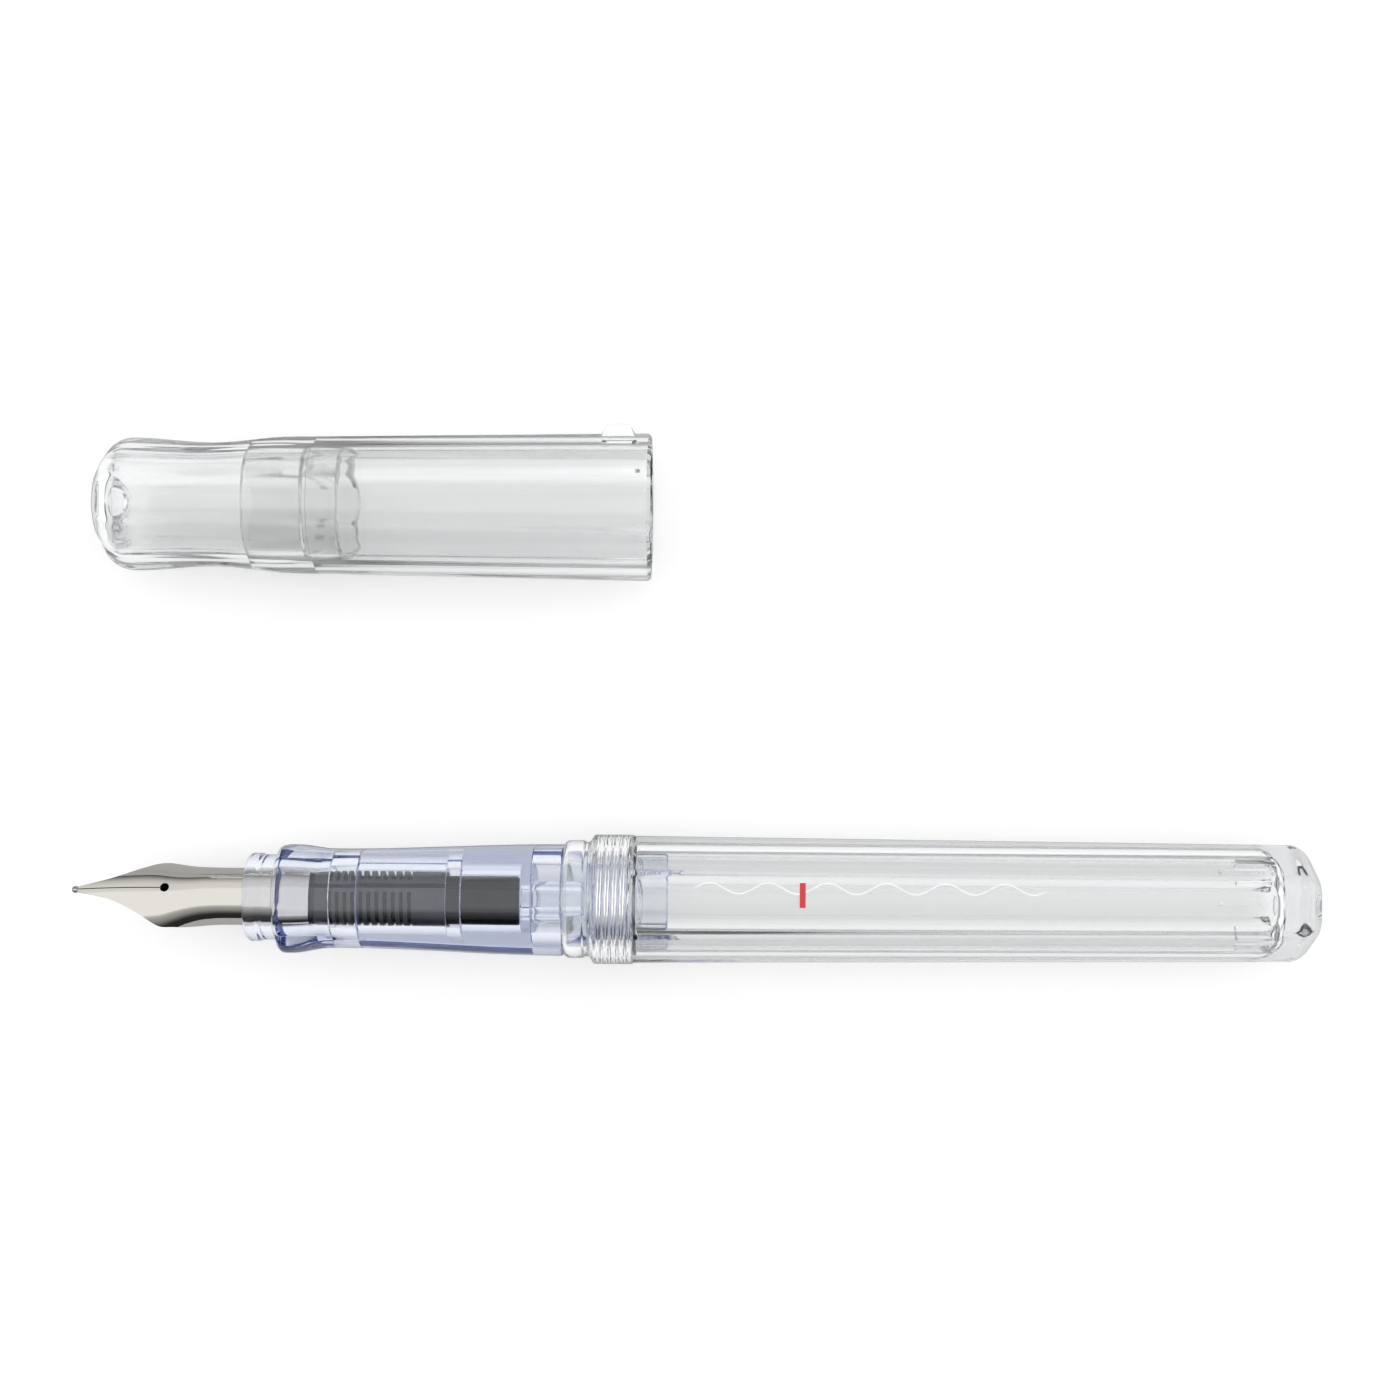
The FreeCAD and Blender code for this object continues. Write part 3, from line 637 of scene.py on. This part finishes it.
# %% Open the slit and the breather hole
breather_x = (NIB_TIP + BREATHER) * MM
for side in (-1, 1):
    front = [f for f in nib.faces if f.calc_center_median().x < breather_x]
    geom = list(dict.fromkeys(g for f in front for g in (f, *f.edges, *f.verts)))
    bmesh.ops.bisect_plane(nib, geom=geom, dist=SAME_POINT,
                           plane_co=(0, side * SLIT_HALF * MM, 0), plane_no=(0, 1, 0))
cut_out = []
for face in nib.faces:
    c = face.calc_center_median()
    in_slit = c.x < breather_x and abs(c.y) < SLIT_HALF * MM
    in_hole = math.hypot(c.x - breather_x, c.y) < 0.93 * BREATHER_RADIUS * MM and c.z > 0
    if in_slit or in_hole:
        cut_out.append(face)
bmesh.ops.delete(nib, geom=cut_out, context="FACES")
for v in nib.verts:
    off = Vector((v.co.x - breather_x, v.co.y, 0))
    if v.is_boundary and 0 < off.length < 1.5 * BREATHER_RADIUS * MM and v.co.z > 0:
        if not (off.x < 0 and abs(off.y) < 1.2 * SLIT_HALF * MM):
            off *= BREATHER_RADIUS * MM / off.length
            v.co.x, v.co.y = breather_x + off.x, off.y
bmesh.ops.remove_doubles(nib, verts=nib.verts[:], dist=2e-6)
bmesh.ops.recalc_face_normals(nib, faces=nib.faces[:])
if sum(f.normal.z for f in nib.faces) < 0:
    bmesh.ops.reverse_faces(nib, faces=nib.faces[:])
nib.transform(to_place)
nib_piece = piece("nib_steel", nib, "nib", nib_steel, ["nib"])
wall = nib_piece.modifiers.new("sheet thickness", "SOLIDIFY")
wall.thickness, wall.offset, wall.use_even_offset = NIB_SHEET * MM, -1, True
soften_edges(nib_piece, "tumbled edges", 0.04, 50)
for polygon in nib_piece.data.polygons:
    polygon.use_smooth = True

# %% [markdown]
# The two tines of a real nib all but touch, so the slit reads as a fine black line. A narrow strip
# of painted shade, sunk a tenth of a millimetre below the face, closes the gap in the same way.

# %% Painted shade line in the slit
SLIT_SHADE_DEPTH, SLIT_SHADE_THICKNESS, SLIT_SHADE_START, SLIT_SHADE_STOP = 0.1, 0.05, 0.75, BREATHER - 0.35
# Painted shade: a near-black strip under the slit stands for the dark gap between the tines.
slit_shade_strip = bmesh.new()
bmesh.ops.create_grid(slit_shade_strip, x_segments=60, y_segments=1, size=0.5)
for v in slit_shade_strip.verts:
    from_tip = SLIT_SHADE_START + (SLIT_SHADE_STOP - SLIT_SHADE_START) * (v.co.x + 0.5)
    v.co = arch_point(from_tip, 0) + Vector((0, v.co.y * 1.9 * SLIT_HALF, -SLIT_SHADE_DEPTH)) * MM
skin = bmesh.ops.extrude_face_region(slit_shade_strip, geom=slit_shade_strip.faces[:])["geom"]
for v in (g for g in skin if isinstance(g, bmesh.types.BMVert)):
    v.co.z -= SLIT_SHADE_THICKNESS * MM
bmesh.ops.recalc_face_normals(slit_shade_strip, faces=slit_shade_strip.faces[:])
slit_shade_strip.transform(to_place)
piece("nib_slit_painted_shade", slit_shade_strip, "nib", slit_painted_shade)

# %% [markdown]
# ## Feed and tipping
#
# The feed's shape in the CAD is right: tongue, comb, rail, ink groove and spigot. A copy of it is
# merged into one skin so that a small bevel can run along its edges and catch light, which a
# moulded comb does on every fin. The tipping pellet is good as it is and only gets its metal.

# %% Feed
feed = bmesh.new()
feed.from_mesh(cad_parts["feed"].data)
bmesh.ops.remove_doubles(feed, verts=feed.verts[:], dist=2e-7)
bmesh.ops.dissolve_limit(feed, angle_limit=math.radians(0.6), verts=feed.verts[:],
                         edges=feed.edges[:])
feed_piece = piece("feed_moulded", feed, "feed", feed_abs, ["feed"])
soften_edges(feed_piece, "moulded edges", 0.02, 35)
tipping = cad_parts["nib_tipping"]
tipping.data.materials.clear()
tipping.data.materials.append(pellet_metal)

# %% [markdown]
# ## Printed marks
#
# The upper flat of the barrel carries a plain wave line and a small red bar, pad printed. They are
# thin strips that lie on the flat, about a hundredth of a millimetre proud.

# %% Printed wave and bar
INK_RISE, INK_FILM = 0.006, 0.01


def on_flat(x, y):
    """A point on the film, x along the pen and y across the upper flat."""
    return pen + Vector((x, y, along(x, barrel_flats) + INK_RISE + INK_FILM)) * MM


def film(name, bm, ink):
    """Gives a flat mark its thickness and lets it ride on the barrel."""
    grown = bmesh.ops.extrude_face_region(bm, geom=bm.faces[:])["geom"]
    for v in grown:
        if isinstance(v, bmesh.types.BMVert):
            v.co.z -= INK_FILM * MM
    bmesh.ops.recalc_face_normals(bm, faces=bm.faces[:])
    return piece(name, bm, "barrel", ink)


WAVE_START, WAVE_STOP, WAVE_Y, WAVE_SWING = 13.4, 48.6, 1.75, 0.55
WAVE_LENGTH, LINE_WIDTH = 5.9, 0.13
BAR_X, BAR_Y, BAR_WIDTH, BAR_HEIGHT = 24.2, 1.06, 0.6, 2.5
wave = bmesh.new()
bmesh.ops.create_grid(wave, x_segments=240, y_segments=1, size=0.5)
for v in wave.verts:
    x = WAVE_START + (WAVE_STOP - WAVE_START) * (v.co.x + 0.5)
    y = WAVE_Y + WAVE_SWING * math.sin(2 * math.pi * (x - WAVE_START) / WAVE_LENGTH)
    v.co = on_flat(x, y + LINE_WIDTH * v.co.y)
film("printed_wave_line", wave, white_ink)

bar = bmesh.new()
bmesh.ops.create_grid(bar, x_segments=1, y_segments=1, size=0.5)
for v in bar.verts:
    v.co = on_flat(BAR_X + BAR_WIDTH * v.co.x, BAR_Y + BAR_HEIGHT * v.co.y)
film("printed_bar", bar, red_ink)

# %% [markdown]
# ## Room, light and camera
#
# A white table under one wide soft light. Clear plastic shows what it bends the eye towards, so the
# room matters as much as the pen: bright overhead, a light grey wall on the cap's side and a dark
# wall on the pen's own side, which draws the dark lines along the lower edges. The table is lit
# from below as well, so that it stays white under the clear pieces. Polished steel doesn't mirror
# that glow, as if a grey card stood beside the nib.

# %% Floor
TABLE_GLOW, TABLE_SIZE = 0.5, 2.0
floor_bm = bmesh.new()
bmesh.ops.create_grid(floor_bm, x_segments=1, y_segments=1, size=TABLE_SIZE)
floor_mesh = bpy.data.meshes.new("table_top")
floor_bm.to_mesh(floor_mesh)
floor_bm.free()
table_top = bpy.data.objects.new("table_top", floor_mesh)
bpy.context.scene.collection.objects.link(table_top)
paper, tree = new_material("white_matt_table")
path = add(tree, "ShaderNodeLightPath").outputs
mirrored = add(tree, "ShaderNodeMath", {0: path["Is Glossy Ray"], 1: path["Is Transmission Ray"]},
               operation="SUBTRACT").outputs[0]
glow = add(tree, "ShaderNodeMapRange", {"Value": mirrored, "To Min": TABLE_GLOW,
                                        "To Max": 0.0}).outputs[0]
shader = add(tree, "ShaderNodeBsdfPrincipled", {
    "Base Color": colour("CCCCCC"), "Roughness": 0.9, "Specular IOR Level": 0.0,
    "Emission Color": colour("FFFFFF"), "Emission Strength": glow})
add(tree, "ShaderNodeOutputMaterial", {"Surface": shader.outputs[0]})
floor_mesh.materials.append(paper)

# %% Sky of the studio
TOP_LIGHT = 1.3
world = bpy.data.worlds.new("studio")
bpy.context.scene.world = world
world.use_nodes = True
tree = world.node_tree
tree.nodes.clear()
look = add(tree, "ShaderNodeSeparateXYZ", {0: add(tree, "ShaderNodeTexCoord").outputs["Generated"]})
lean = add(tree, "ShaderNodeMath", {0: look.outputs["Y"], 1: look.outputs["Z"]},
           operation="ARCTAN2")
across = add(tree, "ShaderNodeMapRange", {"Value": lean.outputs[0], "From Min": -math.pi / 2,
                                          "From Max": math.pi / 2})
bands = add(tree, "ShaderNodeValToRGB", {"Fac": across.outputs[0]})
# brightness by the angle from overhead, in degrees, from the pen's side to the cap's side
levels = [(-90, 0.02), (-66, 0.03), (-57, 0.14), (-48, 0.3), (-38, 0.42), (-31, 0.6), (-27, 1.0),
          (38, 1.0), (41, 0.84), (60, 0.78), (72, 0.6), (82, 0.3), (90, 0.05)]
while len(bands.color_ramp.elements) < len(levels):
    bands.color_ramp.elements.new(0.5)
for stop, (degrees, level) in zip(bands.color_ramp.elements, levels):
    stop.position = (degrees + 90) / 180
    stop.color = (level, level, level, 1)
lit = add(tree, "ShaderNodeBackground", {"Color": bands.outputs["Color"], "Strength": TOP_LIGHT})
plain = add(tree, "ShaderNodeBackground", {"Color": colour("E9EAEC"), "Strength": 1.0})
direct = add(tree, "ShaderNodeLightPath").outputs["Is Camera Ray"]
mixed = add(tree, "ShaderNodeMixShader", {0: direct, 1: lit.outputs[0], 2: plain.outputs[0]})
add(tree, "ShaderNodeOutputWorld", {"Surface": mixed.outputs[0]})

# %% Camera
camera_data = bpy.data.cameras.new("camera")
camera_data.lens, camera_data.sensor_width = 50, 36
camera_data.clip_start, camera_data.clip_end = 0.01, 20
camera = bpy.data.objects.new("camera", camera_data)
bpy.context.scene.collection.objects.link(camera)
CAMERA_PLACE, CAMERA_TURN = (0.40, -0.535, 206.2), 0.38  # millimetres and degrees
camera.location = Vector(CAMERA_PLACE) * MM
camera.rotation_euler = (0, 0, math.radians(CAMERA_TURN))
bpy.context.scene.camera = camera

# %% How the picture is developed
scene = bpy.context.scene
scene.view_settings.view_transform = "Standard"
scene.view_settings.look = "None"
scene.cycles.use_denoising = True
scene.cycles.max_bounces = 32
scene.cycles.transmission_bounces = 32
scene.cycles.glossy_bounces = 12
scene.cycles.sample_clamp_indirect = 10
